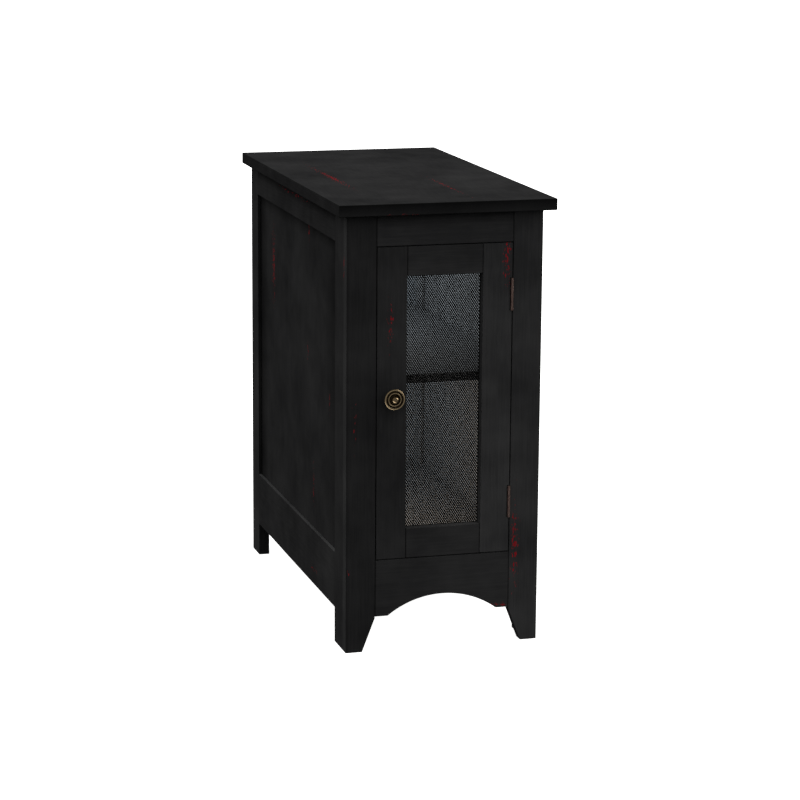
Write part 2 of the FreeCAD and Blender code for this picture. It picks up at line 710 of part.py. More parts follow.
def make_catch():
    """A magnetic catch behind the left leg, and the plate on the door that it holds."""
    heights = ("catch_height - catch_length / 2", "catch_height + catch_length / 2")
    back = f"{FRAME_BACK} + catch_depth"
    face = f"({FRAME_BACK} + strike_thickness + panel_clearance)"
    far, near = f"-{LEG_EDGE} - catch_reach", f"(catch_reach - {LEG_EDGE})"
    board("catch_body", (far, near), (FRAME_BACK, back), heights)
    step = block("catch_step", (f"-{LEG_EDGE} - door_gap", f"{near} + cut_overshoot"),
                 (f"{FRAME_BACK} - cut_overshoot", face),
                 (f"{heights[0]} - cut_overshoot", f"{heights[1]} + cut_overshoot"))
    magnet_x = (f"-{DOOR_EDGE} + door_gap", f"{near} - door_gap")
    magnet_z = ("catch_height - magnet_length / 2", "catch_height + magnet_length / 2")
    board("catch_magnet", magnet_x, (face, f"{face} + magnet_depth"), magnet_z)
    slot = block("catch_slot", magnet_x, (f"{face} - cut_overshoot", f"{face} + magnet_depth"), magnet_z)
    carve(step, "catch_body")
    carve(slot, "catch_body")
    strike_x = (f"-{DOOR_EDGE} + door_gap", f"{near} + door_gap")
    strike_back = f"{FRAME_BACK} + strike_thickness"
    board("strike_plate", strike_x, (FRAME_BACK, strike_back), heights)
    for z in ("catch_height - catch_screw_spacing / 2", "catch_height + catch_screw_spacing / 2"):
        screw("catch_screws", "-y", (f"-{LEG_EDGE} - catch_reach / 2", back, z),
              "(catch_depth + screw_bite)", SMALL_SCREW, "catch_body", "front_leg_left")
        screw("strike_screws", "-y", (f"({strike_x[0]} + {strike_x[1]}) / 2", strike_back, z),
              "screw_bite", SMALL_SCREW, "strike_plate", "door_latch_stile")


# Assembly

def finish_pieces():
    """Cut every joint, and give each piece its name."""
    pieces = {}
    for name, blank in blanks.items():
        if name in tools:
            pieces[name] = cut(name, blank, tools[name])
        else:
            blank.Label = name
            pieces[name] = blank
    for name, solids in groups.items():
        group = doc.addObject("Part::Compound", "Group")
        group.Label = name
        group.Links = solids
        pieces[name] = group
    return pieces


def check(pieces):
    """Stop if anything failed to build."""
    for thing in doc.Objects:
        if {"Invalid", "Error"} & set(thing.State):
            raise RuntimeError(f"{thing.Label} did not build")
    for name, piece in pieces.items():
        if piece.Shape.isNull() or not piece.Shape.isValid() or not piece.Shape.Solids:
            raise RuntimeError(f"{name} has no valid solid")


make_top()
make_front_frame()
for table_side in SIDES:
    make_side(table_side)
make_back()
make_inside()
make_hinge("upper", f"({DOOR_TOP} - hinge_inset - hinge_length)")
make_hinge("lower", f"({DOOR_LOW} + hinge_inset)")
make_door_frame()
make_beads()
make_mesh()
make_knob()
make_catch()
table = finish_pieces()
doc.recompute()
check(table)

os.makedirs("parts", exist_ok=True)
for piece_name, piece in table.items():
    piece.Shape.exportStep(f"parts/{piece_name}.step")
print(len(table), "pieces")
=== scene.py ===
# %% [markdown]
# # A black side table with a mesh door
#
# The table is a narrow cabinet: black painted boards, a door with a perforated metal sheet in it, a brass
# knob and two butt hinges. Every board and fitting is already drawn at its real size, so this lesson dresses
# them. It gives each piece a finish, eases the edges of the boards, and models the few pieces whose form is
# finer than the drawing shows.

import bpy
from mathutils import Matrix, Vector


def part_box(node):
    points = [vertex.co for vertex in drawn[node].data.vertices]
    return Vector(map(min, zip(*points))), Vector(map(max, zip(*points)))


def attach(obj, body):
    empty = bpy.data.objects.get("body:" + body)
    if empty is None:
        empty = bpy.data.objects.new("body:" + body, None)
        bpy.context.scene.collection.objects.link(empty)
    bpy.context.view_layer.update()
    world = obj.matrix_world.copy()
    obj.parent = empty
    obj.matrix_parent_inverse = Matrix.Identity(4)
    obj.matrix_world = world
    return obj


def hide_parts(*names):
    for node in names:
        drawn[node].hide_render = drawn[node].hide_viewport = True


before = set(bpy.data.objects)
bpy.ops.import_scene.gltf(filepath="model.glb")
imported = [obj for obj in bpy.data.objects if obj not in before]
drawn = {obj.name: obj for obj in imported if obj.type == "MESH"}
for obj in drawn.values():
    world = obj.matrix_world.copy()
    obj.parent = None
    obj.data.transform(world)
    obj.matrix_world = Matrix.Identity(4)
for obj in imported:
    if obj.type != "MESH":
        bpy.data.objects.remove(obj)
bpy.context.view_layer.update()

# %% [markdown]
# ## Camera
#
# The photograph looks at the table from the left of its front, a little above the top, through a long lens
# that keeps the boards almost parallel. A camera can be placed by eye, but here its place and three angles
# were worked out from the corners of the table, so that the render and the photograph line up.

# %% Camera
import math

import bpy
from mathutils import Matrix, Vector

CAMERA_PLACE = Vector((-1.0565, -3.7253, 1.1363))
CAMERA_HEADING = math.radians(16.055)
CAMERA_PITCH = math.radians(-12.300)
CAMERA_ROLL = math.radians(0.408)
LENS_MM = 122.2
SENSOR_MM = 36


def link(thing):
    """Put an object into the scene."""
    bpy.context.scene.collection.objects.link(thing)
    return thing


def make_camera():
    """A camera that is turned about the upright, tipped down and rolled a little."""
    data = bpy.data.cameras.new("camera")
    data.lens = LENS_MM
    data.sensor_width = SENSOR_MM
    camera = link(bpy.data.objects.new("camera", data))
    turn = Matrix.Rotation(-CAMERA_HEADING, 4, "Z")
    tip = Matrix.Rotation(math.pi / 2 + CAMERA_PITCH, 4, "X")
    roll = Matrix.Rotation(CAMERA_ROLL, 4, "Z")
    camera.matrix_world = Matrix.Translation(CAMERA_PLACE) @ turn @ tip @ roll
    return camera


bpy.context.scene.camera = make_camera()
print("camera at", [round(value, 3) for value in CAMERA_PLACE])

# %% [markdown]
# ## Floor and light
#
# The table stands on a bright white sweep with no shadow. A pale floor that glows, as a lit studio table
# does, gives that. The boards could be lit with lamps, but in the photograph every upright face is about as
# dark as the next, and only the corners under an edge are darker. An even white sky gives that light: it
# shines down to the far edge of the floor only, and the floor is kept from lighting the boards from below.

# %% Floor
FLOOR_RADIUS = 40
FLOOR_CORNERS = 96
FLOOR_COLOUR = (0.90, 0.90, 0.89, 1)
FLOOR_ROUGHNESS = 0.9
FLOOR_GLOW = 1.1


def floor_white():
    """Matt white that glows evenly. It isn't sampled as a lamp, because it lights nothing."""
    material = bpy.data.materials.new("floor_white")
    material.use_nodes = True
    shader = material.node_tree.nodes["Principled BSDF"]
    shader.inputs["Base Color"].default_value = FLOOR_COLOUR
    shader.inputs["Roughness"].default_value = FLOOR_ROUGHNESS
    shader.inputs["Specular IOR Level"].default_value = 0
    shader.inputs["Emission Color"].default_value = FLOOR_COLOUR
    shader.inputs["Emission Strength"].default_value = FLOOR_GLOW
    material.cycles.emission_sampling = "NONE"
    return material


def make_floor():
    """A wide round floor that the camera sees, but that doesn't light the table."""
    bpy.ops.mesh.primitive_circle_add(vertices=FLOOR_CORNERS, radius=FLOOR_RADIUS, fill_type="NGON")
    floor = bpy.context.object
    floor.name = "floor"
    floor.visible_diffuse = False
    floor.visible_glossy = False
    floor.data.materials.append(floor_white())


make_floor()
print("floor", 2 * FLOOR_RADIUS, "m across")

# %% Sky
SKY_STRENGTH = 1.0
SKY_COLOUR = (1, 1, 1, 1)
SKY_EDGE = (-0.030, -0.023)


def make_sky():
    """Even white light from every direction down to the edge of the floor, and none from below."""
    world = bpy.data.worlds.new("studio")
    world.use_nodes = True
    nodes = world.node_tree.nodes
    links = world.node_tree.links
    direction = nodes.new("ShaderNodeTexCoord")
    parts = nodes.new("ShaderNodeSeparateXYZ")
    rise = nodes.new("ShaderNodeMapRange")
    rise.inputs["From Min"].default_value = SKY_EDGE[0]
    rise.inputs["From Max"].default_value = SKY_EDGE[1]
    rise.inputs["To Max"].default_value = SKY_STRENGTH
    links.new(direction.outputs["Generated"], parts.inputs["Vector"])
    links.new(parts.outputs["Z"], rise.inputs["Value"])
    links.new(rise.outputs["Result"], nodes["Background"].inputs["Strength"])
    nodes["Background"].inputs["Color"].default_value = SKY_COLOUR
    bpy.context.scene.world = world


make_sky()
bpy.context.scene.view_settings.view_transform = "Standard"
print("sky of strength", SKY_STRENGTH)

# %% [markdown]
# ## Lamps inside
#
# The inside shows through the mesh, so it needs light of its own. Bulbs without a size would draw hard
# shadows, so each half of the cabinet has two soft lamps by its left side, which shine to the right and
# down. The rear one is cooler, because the far end of the inside looks bluish.

# %% Lamps inside
PALE = (0.95, 0.98, 1.0)
WARM = (1.0, 0.88, 0.76)
COOL = (0.77, 0.885, 1.0)
# A lamp's place and its target are given from the top of a board.
FRONT_LAMP = {"place": (-0.085, -0.10, 0.16), "target": (0.06, -0.09, 0.02), "size": (0.22, 0.09)}
REAR_LAMP = {"place": (-0.108, 0.14, 0.155), "target": (0.1, 0.14, 0.035), "size": (0.22, 0.10)}
# The board, the kind of lamp, its colour and its watts.
LAMPS = {
    "upper_front": ("shelf", FRONT_LAMP, PALE, 0.12),
    "upper_rear": ("shelf", REAR_LAMP, COOL, 0.51),
    "lower_front": ("floor_board", FRONT_LAMP, WARM, 0.22),
    "lower_rear": ("floor_board", REAR_LAMP, COOL, 0.25),
}


def make_lamp(name, board, kind, colour, watts):
    """A soft lamp above a board, which faces its target and isn't seen itself."""
    ground = Vector((0, 0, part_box(board)[1].z))
    place = ground + Vector(kind["place"])
    target = ground + Vector(kind["target"])
    data = bpy.data.lights.new(name, "AREA")
    data.color = colour
    data.shape = "RECTANGLE"
    data.size, data.size_y = kind["size"]
    data.energy = watts
    lamp = link(bpy.data.objects.new(name, data))
    lamp.location = place
    lamp.rotation_mode = "QUATERNION"
    lamp.rotation_quaternion = (target - place).to_track_quat("-Z", "Y")
    lamp.visible_camera = False


for lamp_name, lamp_facts in LAMPS.items():
    make_lamp(lamp_name, *lamp_facts)
print(len(LAMPS), "lamps")

# %% [markdown]
# ## A short way to write materials
#
# A finish is a small network of nodes. Writing every node and link out in full hides the idea, so one helper
# adds a node, sets its values and joins its inputs in one call. A value that is the same all over is set on
# the shader itself. Real surfaces are never one flat colour, so most finishes start from noise, and the
# second set of helpers turns noise into colours, numbers and bumps.

# %% Nodes and links
def new_material(name, specular, metallic=0.0):
    """A material with its shader's even values set."""
    material = bpy.data.materials.new(name)
    material.use_nodes = True
    shader = material.node_tree.nodes["Principled BSDF"]
    shader.inputs["Specular IOR Level"].default_value = specular
    shader.inputs["Metallic"].default_value = metallic
    return material


def add(material, kind, inputs=None, **settings):
    """Add a node. An input, by its name or number, is a value or the output of another node to join to it."""
    node = material.node_tree.nodes.new("ShaderNode" + kind)
    for name, value in settings.items():
        setattr(node, name, value)
    for name, value in (inputs or {}).items():
        if isinstance(value, bpy.types.NodeSocket):
            material.node_tree.links.new(value, node.inputs[name])
        else:
            node.inputs[name].default_value = value
    return node


def join(material, **outputs):
    """Join outputs to the shader's inputs, whose names have spaces instead of underscores."""
    shader = material.node_tree.nodes["Principled BSDF"]
    for name, output in outputs.items():
        material.node_tree.links.new(output, shader.inputs[name.replace("_", " ")])


def dress(material, *names):
    """Give a material to drawn pieces."""
    for name in names:
        drawn[name].data.materials.clear()
        drawn[name].data.materials.append(material)


print(len(bpy.data.materials), "materials so far")

# %% Noise, colours, numbers and bumps
NOISE_ROUGHNESS = 0.65
NOISE_RANGE = (0.3, 0.7)
BUMP_STRENGTH = 0.6
# The Mix node has sockets of one name for each kind of data, so those for colours go by their numbers.
MIX_FACTOR, MIX_FIRST, MIX_SECOND, MIX_RESULT = 0, 6, 7, 2


def object_place(material):
    """The place of a point on its object, in metres."""
    return add(material, "TexCoord").outputs["Object"]


def noise(material, where, scale, detail=5, stretch=(1, 1, 1)):
    """Noise from 0 to 1 with features 1/scale metres wide, and longer along an axis with a small stretch."""
    drawn_out = add(material, "Mapping", {"Vector": where, "Scale": stretch}).outputs["Vector"]
    texture = add(material, "TexNoise", {"Vector": drawn_out, "Scale": scale, "Detail": detail,
                                         "Roughness": NOISE_ROUGHNESS})
    return texture.outputs["Fac"]


def ramp(material, amount, low, high, low_colour, high_colour):
    """A colour that goes from one to another as an amount goes from low to high."""
    node = add(material, "ValToRGB", {"Fac": amount})
    ends = node.color_ramp.elements
    ends[0].position, ends[0].color = low, (*low_colour, 1)
    ends[1].position, ends[1].color = high, (*high_colour, 1)
    return node.outputs["Color"]


def span(material, amount, low, high, to_low, to_high):
    """A number that goes from one value to another as an amount goes from low to high."""
    node = add(material, "MapRange", {"Value": amount, "From Min": low, "From Max": high,
                                      "To Min": to_low, "To Max": to_high})
    return node.outputs["Result"]


def mix_colour(material, share, first, second):
    """The second colour over the first, by a share from 0 to 1."""
    inputs = {MIX_FACTOR: share, MIX_FIRST: first, MIX_SECOND: second}
    return add(material, "Mix", inputs, data_type="RGBA").outputs[MIX_RESULT]


def math_node(material, operation, first, second):
    """A sum, product or the like of two numbers or outputs."""
    return add(material, "Math", {0: first, 1: second}, operation=operation).outputs["Value"]


def bump(material, height, depth):
    """A bump from a height of 0 to 1, whose full height is a depth in metres."""
    inputs = {"Height": height, "Strength": BUMP_STRENGTH, "Distance": depth}
    return add(material, "Bump", inputs).outputs["Normal"]


print("most of the noise lies between", *NOISE_RANGE)

# %% [markdown]
# ## Sealed board
#
# Where nobody looks, the wood is only sealed: the floor, the shelf, the cleats and the inner faces of the
# sides are a plain grey-brown, and the back is paler hardboard. A board has fine fibres along its length, so
# its colour is noise that is drawn out along one axis. A picture of wood would repeat itself, and noise
# doesn't. The fibres have a function of their own, because the painted boards need them too.

# %% Sealed board
BOARD_DARK = (0.30, 0.292, 0.282)
BOARD_LIGHT = (0.43, 0.422, 0.410)
BOARD_FIBRE = 420
FIBRE_STRETCH = 0.06
FIBRE_RANGE = (0.3, 0.72)
FIBRE_DEPTH = 0.00008
SEALER_SPECULAR = 0.25
SEALER_ROUGHNESS = (0.55, 0.7)


def along(axis, stretch):
    """A scale that draws noise out along one axis."""
    return [stretch if name == axis else 1 for name in "xyz"]


def board_fibres(material, where, axis):
    """The fibres of bare wood along an axis."""
    return noise(material, where, BOARD_FIBRE, detail=6, stretch=along(axis, FIBRE_STRETCH))


def sealed_board(name, axis, dark, light):
    """Bare wood under a dull sealer."""
    material = new_material(name, SEALER_SPECULAR)
    fibres = board_fibres(material, object_place(material), axis)
    join(material, Base_Color=ramp(material, fibres, *FIBRE_RANGE, dark, light),
         Roughness=span(material, fibres, *NOISE_RANGE, *SEALER_ROUGHNESS),
         Normal=bump(material, fibres, FIBRE_DEPTH))
    return material


BACK_DARK = (0.51, 0.525, 0.53)
BACK_LIGHT = (0.64, 0.66, 0.67)
SIDES = ("left", "right")
sealed_boards = ["floor_board", "shelf"]
sealed_boards += [f"{level}_cleat_{side}" for level in ("floor", "top") for side in SIDES]
dress(sealed_board("sealed_board", "y", BOARD_DARK, BOARD_LIGHT), *sealed_boards)
dress(sealed_board("pale_hardboard", "z", BACK_DARK, BACK_LIGHT), "back_panel")
print(len(sealed_boards) + 1, "boards left bare")

# %% [markdown]
# ## Black paint over wood
#
# The outside is sprayed a dull black, in soft clouds of two blacks that are hardly apart. One material for
# all the boards would look like one moulded block, so the paint is a function that can be made lighter or
# darker for a board or for a part of it. A coordinate tells the part: past a limit on an axis its mask is 1,
# and before the limit 0.

# %% Black paint
PAINT_DARK = (0.0180, 0.0180, 0.0184)
PAINT_LIGHT = (0.0342, 0.0340, 0.0342)
PAINT_RANGE = (0.38, 0.66)
HAIR = 0.0001


def coordinate(material, where, axis):
    """How far a point lies along one axis."""
    return add(material, "SeparateXYZ", {"Vector": where}).outputs[axis.upper()]


def past(material, where, axis, limit, way):
    """1 past a limit on an axis, up the axis for a way of 1 or down it for -1, otherwise 0."""
    return span(material, coordinate(material, where, axis), limit - way * HAIR, limit + way * HAIR, 0, 1)


def paint(material, texture, tone):
    """The colour of the paint by its texture, lighter or darker by a tone."""
    dark = [tone * channel for channel in PAINT_DARK]
    light = [tone * channel for channel in PAINT_LIGHT]
    return ramp(material, texture, *PAINT_RANGE, dark, light)


print("paint from", PAINT_DARK, "to", PAINT_LIGHT)

# %% [markdown]
# ## Red rubs
#
# In a few places the paint is rubbed through to a red undercoat, for an aged look. A picture of the rubs
# could be painted on, but a rub is simple: an ellipsoid, given by its centre, its half sizes and how strongly
# it is rubbed, broken up into specks by fine noise.

# %% Red rubs
MM = 0.001
RUB_RED = (0.34, 0.010, 0.016)
RUB_SPECKLE = 430
RUB_STRETCH = 0.4
RUB_FADE = 0.26
RUB_REACH = 2
RUB_CUT = (0.47, 0.57)
# The centre and the half sizes of each rub in millimetres, and how strongly it is rubbed.
RUBS = {
    "top_board": [((-92, -12, 623), (10, 210, 4), 0.015), ((42, -125, 623), (7, 170, 4), -0.01),
                  ((-58, -287, 608), (55, 4, 4), -0.05)],
    "left_top_rail": [((-138, 30, 596), (4, 180, 7), -0.03)],
    "left_bottom_rail": [((-138, -96, 72), (4, 42, 8), -0.03)],
    "left_side_panel": [((-133, 169, 473), (4, 16, 95), 0.02), ((-133, -47, 553), (4, 7, 34), -0.02),
                        ((-133, -40, 378), (4, 7, 34), -0.02), ((-133, -164, 332), (4, 8, 40), -0.03),
                        ((-133, -74, 193), (4, 8, 58), 0.0)],
    "front_leg_left": [((-138, -258, 537), (4, 6, 34), 0.02), ((-126, -271, 318), (9, 4, 75), -0.07),
                       ((-134, -271, 110), (5, 4, 38), -0.06)],
    "front_leg_right": [((104.5, -271, 139), (10, 4, 105), 0.015)],
    "front_apron": [((81, -271, 53), (20, 4, 6), 0.02)],
    "door_latch_stile": [((-76, -271, 460), (9, 4, 55), 0.005)],
    "door_hinge_stile": [((87.5, -271, 545), (9.5, 4, 70), 0.03)],
    "right_side_panel": [((133, -120, 430), (4, 14, 80), 0.02), ((133, 90, 250), (4, 8, 45), 0.0)],
    "right_top_rail": [((138, -40, 596), (4, 150, 7), -0.02)],
}


def rub_mask(material, where, axis, centre, half, strength):
    """How far the paint is rubbed through, from 0 to 1, in specks that thin out round a centre."""
    middle = Vector(centre) * MM
    reach = Vector(half) * MM
    moved = add(material, "VectorMath", {0: where, 1: middle}, operation="SUBTRACT").outputs["Vector"]
    scaled = add(material, "VectorMath", {0: moved, 1: reach}, operation="DIVIDE").outputs["Vector"]
    distance = add(material, "VectorMath", {0: scaled}, operation="LENGTH").outputs["Value"]
    fading = span(material, distance, 0, RUB_REACH, strength, strength - RUB_REACH * RUB_FADE)
    specks = noise(material, where, RUB_SPECKLE, detail=3, stretch=along(axis, RUB_STRETCH))
    return span(material, math_node(material, "ADD", fading, specks), *RUB_CUT, 0, 1)


def add_rubs(material, where, axis, colour, streaks, rubs):
    """The colour with the red undercoat showing through at each rub."""
    dark_red = [channel / 2 for channel in RUB_RED]
    red = ramp(material, streaks, *NOISE_RANGE, dark_red, RUB_RED)
    for facts in rubs:
        colour = mix_colour(material, rub_mask(material, where, axis, *facts), colour, red)
    return colour


print(sum(map(len, RUBS.values())), "rubs on", len(RUBS), "boards")

# %% [markdown]
# ## Tones
#
# No two boards take the paint alike, so some have a tone of their own. The front is also painted lighter
# towards its right, as painted light from that side. A few narrow faces have a tone of their own too: the
# ledges of the rails and the outer sides of the legs are painted lighter, as painted light, and the step of
# each rear post darker, as painted shade. Corners under an edge are deeper black than the light alone makes
# them, so the paint is shaded there, and the fine grooves where two boards meet are almost black. All of it
# could be painted on by hand, but tables of places are easier to change.

# %% Tones of the painted boards
SKIN = 0.0002
TOP_LOW, TOP_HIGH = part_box("top_board")
POST_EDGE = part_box("left_front_post")[1].y
REAR_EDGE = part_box("left_rear_post")[0].y
RAIL_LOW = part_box("left_top_rail")[0].z
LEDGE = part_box("left_bottom_rail")[1].z
DOOR_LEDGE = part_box("door_bottom_rail")[1].z
LEG_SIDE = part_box("front_leg_left")[0].x
LEG_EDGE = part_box("front_top_rail")[1].x
STILE_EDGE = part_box("door_hinge_stile")[0].x
# How light the paint of a board is, where it differs from 1: partly the board's own tone and partly
# painted light, which makes the front lighter towards its right.
BOARD_TONE_AND_LIGHT = {"front_leg_left": 0.77, "front_leg_right": 1.25, "front_top_rail": 1.25, "door_hinge_stile": 1.42,
         "door_latch_stile": 0.95, "door_top_rail": 1.15, "left_rear_post": 1.15, "top_board": 0.64}
# A face with a tone of its own: the axis, the limit it lies past, the way along the axis and the tone.
# The ledges of the rails and the outer sides of the legs are painted lighter, as painted light, and the
# step of each rear post is painted darker, as painted shade. The top has a darker front and darker ends
# than its upper face.
FACE_LIGHT_AND_TONE = {"top_board": [("z", TOP_HIGH.z - SKIN, 1, 1), ("x", TOP_LOW.x + SKIN, -1, 0.72),
                       ("x", TOP_HIGH.x - SKIN, 1, 0.72)],
         "front_leg_left": [("x", LEG_SIDE + SKIN, -1, 1.4)],
         "front_leg_right": [("x", -LEG_SIDE - SKIN, 1, 1.4)],
         "door_bottom_rail": [("z", DOOR_LEDGE - SKIN, 1, 1.6)]}
# Painted light on the ledges of the side rails.
FACE_LIGHT_AND_TONE |= {f"{side}_bottom_rail": [("z", LEDGE - SKIN, 1, 2.2)] for side in SIDES}
# Painted shade on the step of each rear post.
FACE_LIGHT_AND_TONE |= {f"{side}_rear_post": [("y", REAR_EDGE + SKIN, -1, 0.5)] for side in SIDES}
# Painted shade in a corner or along an edge: the axis, the place where it is darkest, the place where it
# ends and its share of black.
SHADES = {"front_top_rail": [("z", TOP_LOW.z, TOP_LOW.z - 0.02, 0.45)],
          "front_leg_left": [("x", LEG_SIDE, LEG_SIDE + 0.005, 0.3)],
          # The front of the top is darker towards its upper edge.
          "top_board": [("z", TOP_HIGH.z, TOP_LOW.z, 0.68)]}
SHADES |= {f"{side}_top_rail": [("z", TOP_LOW.z, TOP_LOW.z - 0.02, 0.88)] for side in SIDES}
SHADES |= {f"{side}_side_panel": [("y", POST_EDGE, POST_EDGE + 0.07, 0.5),
                                  ("y", REAR_EDGE, REAR_EDGE - 0.045, 0.6),
                                  ("z", RAIL_LOW, RAIL_LOW - 0.02, 0.5)] for side in SIDES}
# A groove between two boards: the axis and its place.
JOINTS = {board: [("x", -LEG_EDGE), ("x", LEG_EDGE)] for board in ("front_top_rail", "front_apron")}
JOINTS |= {board: [("x", -STILE_EDGE), ("x", STILE_EDGE)] for board in ("door_top_rail", "door_bottom_rail")}
JOINT_HALF = 0.0018
JOINT_TONE = 0.04


def shade(material, where, axis, dark_end, light_end, share):
    """The share of black of a painted shade, which fades out along an axis."""
    return span(material, coordinate(material, where, axis), dark_end, light_end, share, 0)


def joint_line(material, where, axis, edge):
    """1 at the groove where two boards meet, which fades to 0 close by."""
    offset = math_node(material, "SUBTRACT", coordinate(material, where, axis), edge)
    return span(material, math_node(material, "ABSOLUTE", offset, 0), 0, JOINT_HALF, 1, 0)


print(len(BOARD_TONE_AND_LIGHT), "boards with a tone of their own")

# %% [markdown]
# ## Painted boards
#
# The paint is thin enough that the grain of the wood shows as faint streaks, so each board needs to know
# which way its grain runs. The inner faces are left bare. A thin extra board could cover the paint there, but
# it would be one more piece to keep in place, so a mask lets the sealed board show instead.

# %% Paint of one board
GRAIN_STRETCH = 0.035
GRAIN_SCALE = 650
GRAIN_DEPTH = 0.00006
CLOUD_SCALE = 9
STREAK_SHARE = 0.35
PAINT_ROUGHNESS = (0.54, 0.66)
PAINT_SPECULAR = 0.0


def paint_texture(material, where, streaks):
    """Soft clouds with faint streaks in them, from 0 to 1."""
    clouds = noise(material, where, CLOUD_SCALE, detail=3)
    faint_streaks = math_node(material, "MULTIPLY", streaks, STREAK_SHARE)
    faint_clouds = math_node(material, "MULTIPLY", clouds, 1 - STREAK_SHARE)
    return math_node(material, "ADD", faint_streaks, faint_clouds)


def toned_paint(material, board, where, texture):
    """A board's paint, with its painted light and shade on some faces and corners, and its dark grooves."""
    colour = paint(material, texture, BOARD_TONE_AND_LIGHT.get(board, 1))
    black = paint(material, texture, JOINT_TONE)
    for facts in SHADES.get(board, []):
        colour = mix_colour(material, shade(material, where, *facts), colour, black)
    for face_axis, limit, way, tone in FACE_LIGHT_AND_TONE.get(board, []):
        face = past(material, where, face_axis, limit, way)
        colour = mix_colour(material, face, colour, paint(material, texture, tone))
    for facts in JOINTS.get(board, []):
        colour = mix_colour(material, joint_line(material, where, *facts), colour, black)
    return colour


print("clouds", round(1 / CLOUD_SCALE, 2), "m wide")

# %% Bare inner faces
def middle_of(name, axis):
    """The middle of a drawn piece along an axis."""
    low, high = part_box(name)
    return (getattr(low, axis) + getattr(high, axis)) / 2


PANEL_MIDDLE = -middle_of("left_side_panel", "x")
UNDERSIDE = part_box("floor_board")[0].z
BACK_JOINT = middle_of("back_panel", "y")
BACK_MIDDLE = middle_of("back_top_rail", "y")
SIDE_BOARDS = [f"{side}_{board}" for side in SIDES
               for board in ("front_post", "rear_post", "top_rail", "bottom_rail", "side_panel")]
BACK_RAILS = ["back_top_rail", "back_bottom_rail"]


def inside(material, where):
    """1 on the inner half of the sides, above the cabinet's underside and before its back, otherwise 0."""
    distance = math_node(material, "ABSOLUTE", coordinate(material, where, "x"), 0)
    near = span(material, distance, PANEL_MIDDLE - HAIR, PANEL_MIDDLE + HAIR, 1, 0)
    near = math_node(material, "MULTIPLY", near, past(material, where, "z", UNDERSIDE, 1))
    return math_node(material, "MULTIPLY", near, past(material, where, "y", BACK_JOINT, -1))


def bare_inside(material, board, where, axis, colour):
    """The colour, with bare wood on the inner half of a side board or a back rail."""
    if board in SIDE_BOARDS:
        mask = inside(material, where)
    elif board in BACK_RAILS:
        mask = past(material, where, "y", BACK_MIDDLE, -1)
    else:
        return colour
    fibres = board_fibres(material, where, axis)
    bare = ramp(material, fibres, *FIBRE_RANGE, BOARD_DARK, BOARD_LIGHT)
    return mix_colour(material, mask, colour, bare)


print(len(SIDE_BOARDS) + len(BACK_RAILS), "boards bare on the inside")

# %% Painted boards
def black_paint(board, axis):
    """Dull black paint on one board, with the grain of the wood showing through along an axis."""
    material = new_material(f"black_paint_{board}", PAINT_SPECULAR)
    where = object_place(material)
    streaks = noise(material, where, GRAIN_SCALE, detail=6, stretch=along(axis, GRAIN_STRETCH))
    colour = toned_paint(material, board, where, paint_texture(material, where, streaks))
    colour = add_rubs(material, where, axis, colour, streaks, RUBS.get(board, []))
    colour = bare_inside(material, board, where, axis, colour)
    gloss = span(material, streaks, *NOISE_RANGE, *PAINT_ROUGHNESS)
    join(material, Base_Color=colour, Roughness=gloss, Normal=bump(material, streaks, GRAIN_DEPTH))
    return material


boards_by_grain = {
    "x": ["front_top_rail", "front_apron", "door_top_rail", "door_bottom_rail", "mesh_bead_top",
          "mesh_bead_bottom", "back_top_rail", "back_bottom_rail"],
    "y": ["top_board"] + [f"{side}_{level}_rail" for side in SIDES for level in ("top", "bottom")],
    "z": ["front_leg_left", "front_leg_right", "door_latch_stile", "door_hinge_stile", "mesh_bead_left",
          "mesh_bead_right"] + [f"{side}_{board}" for side in SIDES
                                for board in ("front_post", "rear_post", "side_panel")],
}
for grain_axis, boards in boards_by_grain.items():
    for board in boards:
        dress(black_paint(board, grain_axis), board)
print(sum(map(len, boards_by_grain.values())), "boards painted black")

# %% [markdown]
# ## Eased edges
#
# Sharp edges look drawn, and real boards are sanded before they are painted. A Bevel modifier rounds every
# edge by about half a millimetre, which also makes a fine groove where two boards meet. The drawn meshes are
# triangles with split corners, so a Weld joins the corners and a planar Decimate joins the triangles first.

# %% Eased edges
EASE = 0.0004
EASE_SEGMENTS = 2
WELD_REACH = 0.000005
FLAT_ANGLE = math.radians(0.5)
SHARP_ANGLE = math.radians(40)


def ease_edges(name):
    """Round the edges of a drawn piece with modifiers, which leave its own mesh as it is."""
    piece = drawn[name]
    weld = piece.modifiers.new("weld", "WELD")
    weld.merge_threshold = WELD_REACH
    flat = piece.modifiers.new("flat", "DECIMATE")
    flat.decimate_type = "DISSOLVE"
    flat.angle_limit = FLAT_ANGLE
    rounded = piece.modifiers.new("rounded", "BEVEL")
    rounded.width = EASE
    rounded.segments = EASE_SEGMENTS
    rounded.limit_method = "ANGLE"
    rounded.angle_limit = SHARP_ANGLE
    rounded.use_clamp_overlap = False


eased = sum(boards_by_grain.values(), sealed_boards + ["back_panel"])
for name in eased:
    ease_edges(name)
print(len(eased), "boards eased by", round(EASE / MM, 2), "mm")

# %% [markdown]
# ## Mesh sheet
#
# The door is filled with a thin black sheet that is pierced by thousands of holes in a lattice of diamonds,
# 3 mm wide and 5 mm high. Painting the holes on would look flat when the door turns, so they are real.
# Cutting them out one by one with a Boolean would take minutes, so the sheet is laid like tiles instead: each
# tile is a diamond with a smaller hole in it, and the corners of neighbouring tiles meet, so the sheet is one
# clean surface. The holes lean a little, because the strands that fall to the right are the stronger ones.

# %% Mesh tiles
DIAMOND_WIDTH = 0.00315
DIAMOND_ROW = 0.00242
